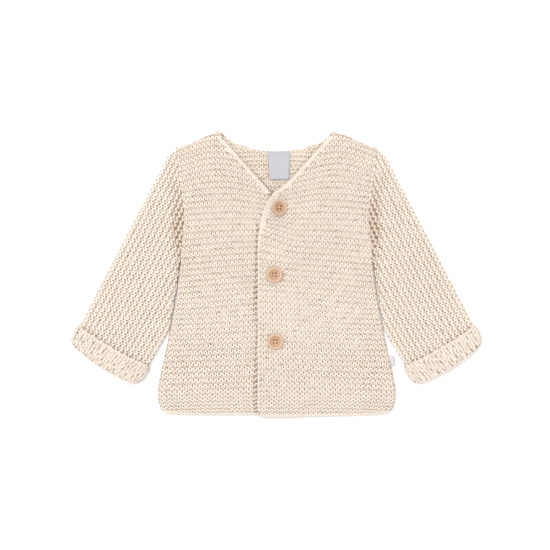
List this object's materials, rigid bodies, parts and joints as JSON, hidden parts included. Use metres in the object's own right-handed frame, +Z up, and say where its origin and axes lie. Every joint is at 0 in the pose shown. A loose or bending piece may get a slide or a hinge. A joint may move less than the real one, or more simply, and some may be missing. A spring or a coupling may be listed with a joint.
{
  "type": "baby cardigan",
  "caption": "Chunky garter-stitch baby cardigan laid flat, V neck, long sleeves with turned-back cuffs, lapped front fastened with round buttons.",
  "frame": {"origin": "centre of the overall box on the surface that the cardigan lies on", "axes": "+X to the wearer's left (the viewer's right), +Y towards the neck, +Z up from the surface"},
  "size_m": [0.4292, 0.296, 0.0203],
  "materials": {
    "knit": "matt cream cotton yarn in garter stitch",
    "wood": "turned light wood, thin satin varnish",
    "label_ribbon": "pale woven ribbon, bare",
    "tab_ribbon": "pale woven ribbon, folded, bare"
  },
  "bodies": {
    "root": {"back": "knit", "front_left": "knit", "front_right": "knit", "sleeve_left": "knit", "sleeve_right": "knit", "button_top": "wood", "button_middle": "wood", "button_bottom": "wood", "neck_label": "label_ribbon", "side_tab": "tab_ribbon"}
  },
  "joints": []
}
